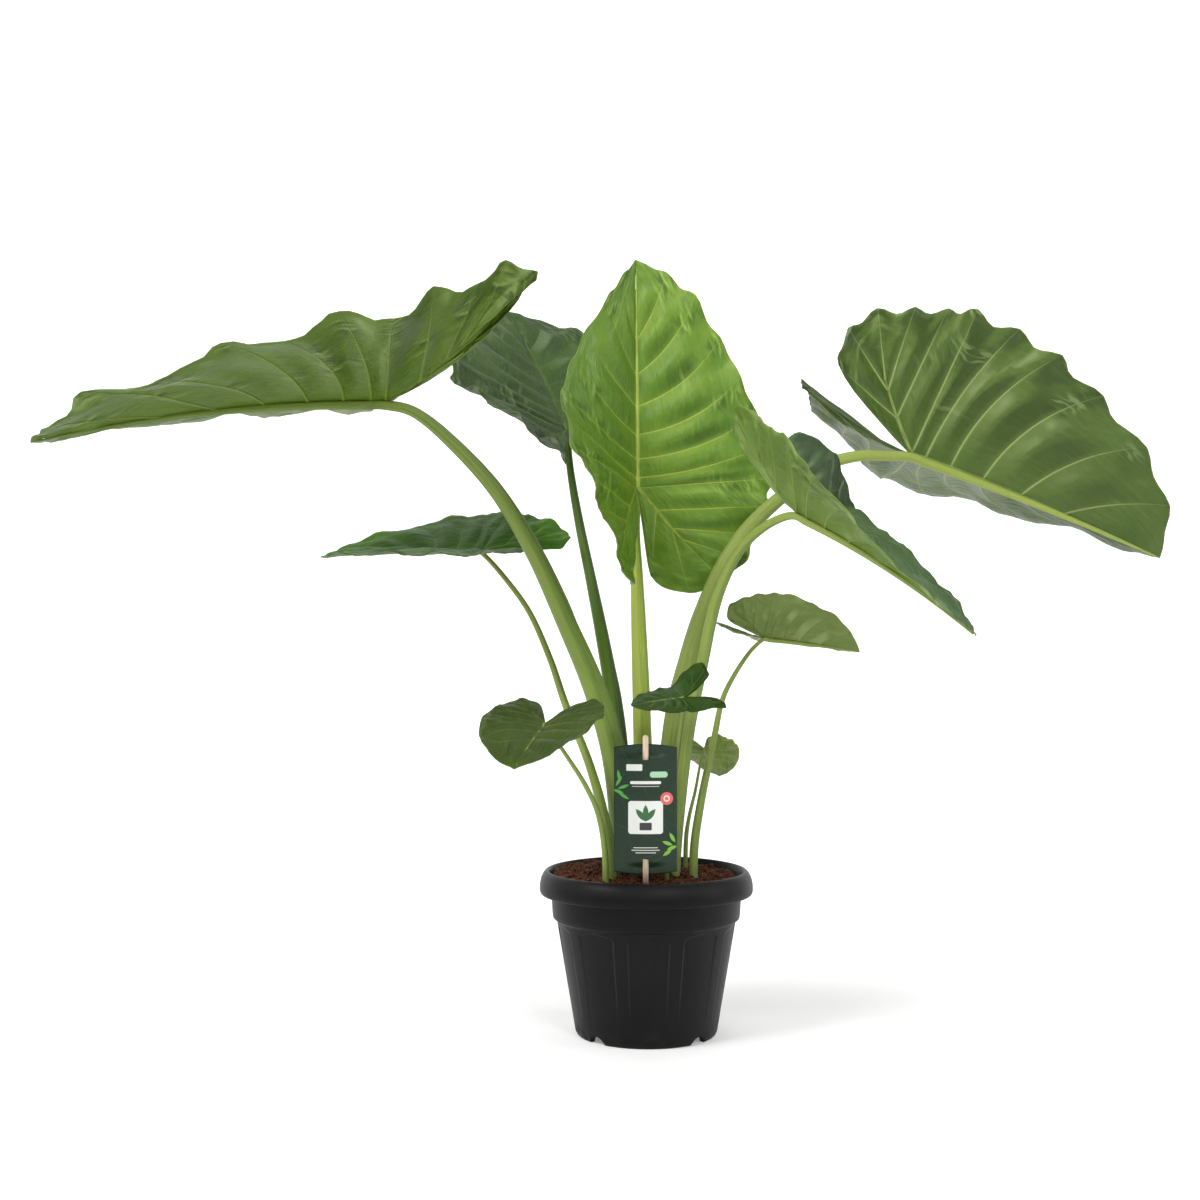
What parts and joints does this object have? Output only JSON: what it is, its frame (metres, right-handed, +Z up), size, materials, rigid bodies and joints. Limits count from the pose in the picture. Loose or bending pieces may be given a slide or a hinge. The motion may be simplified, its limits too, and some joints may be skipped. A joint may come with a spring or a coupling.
{
  "type": "giant taro in a nursery pot",
  "caption": "A giant taro with broad arrow-shaped leaves on fleshy stalks, in a ribbed black nursery pot of coir soil, with a plain green plant label on a wooden stick.",
  "frame": {"origin": "the middle of the pot's underside, on the surface that the pot stands on", "axes": "+Z up, -Y towards the viewer of the picture, +X to the viewer's right"},
  "size_m": [1.218, 0.6726, 0.8887],
  "materials": {
    "black_plastic": "satin",
    "coir_soil": "matte, fibrous",
    "printed_card": "satin",
    "pale_wood": "bare",
    "mid_green_leaf": "waxy satin",
    "bright_green_leaf": "waxy satin",
    "dark_green_leaf": "waxy satin",
    "green_stalk": "waxy satin",
    "pale_green_stalk": "waxy satin"
  },
  "bodies": {
    "root": {"pot": "black_plastic", "soil": "coir_soil", "label_card": "printed_card", "label_stick": "pale_wood", "leaf_1_blade": "mid_green_leaf", "leaf_1_stalk": "green_stalk", "leaf_2_blade": "dark_green_leaf", "leaf_2_stalk": "green_stalk", "leaf_3_blade": "bright_green_leaf", "leaf_3_stalk": "pale_green_stalk", "leaf_4_blade": "mid_green_leaf", "leaf_4_stalk": "green_stalk", "leaf_5_blade": "mid_green_leaf", "leaf_5_stalk": "green_stalk", "leaf_6_blade": "dark_green_leaf", "leaf_6_stalk": "green_stalk", "leaf_7_blade": "dark_green_leaf", "leaf_7_stalk": "green_stalk", "leaf_8_blade": "mid_green_leaf", "leaf_8_stalk": "green_stalk", "leaf_9_blade": "dark_green_leaf", "leaf_9_stalk": "green_stalk", "leaf_10_blade": "mid_green_leaf", "leaf_10_stalk": "green_stalk"}
  },
  "joints": []
}
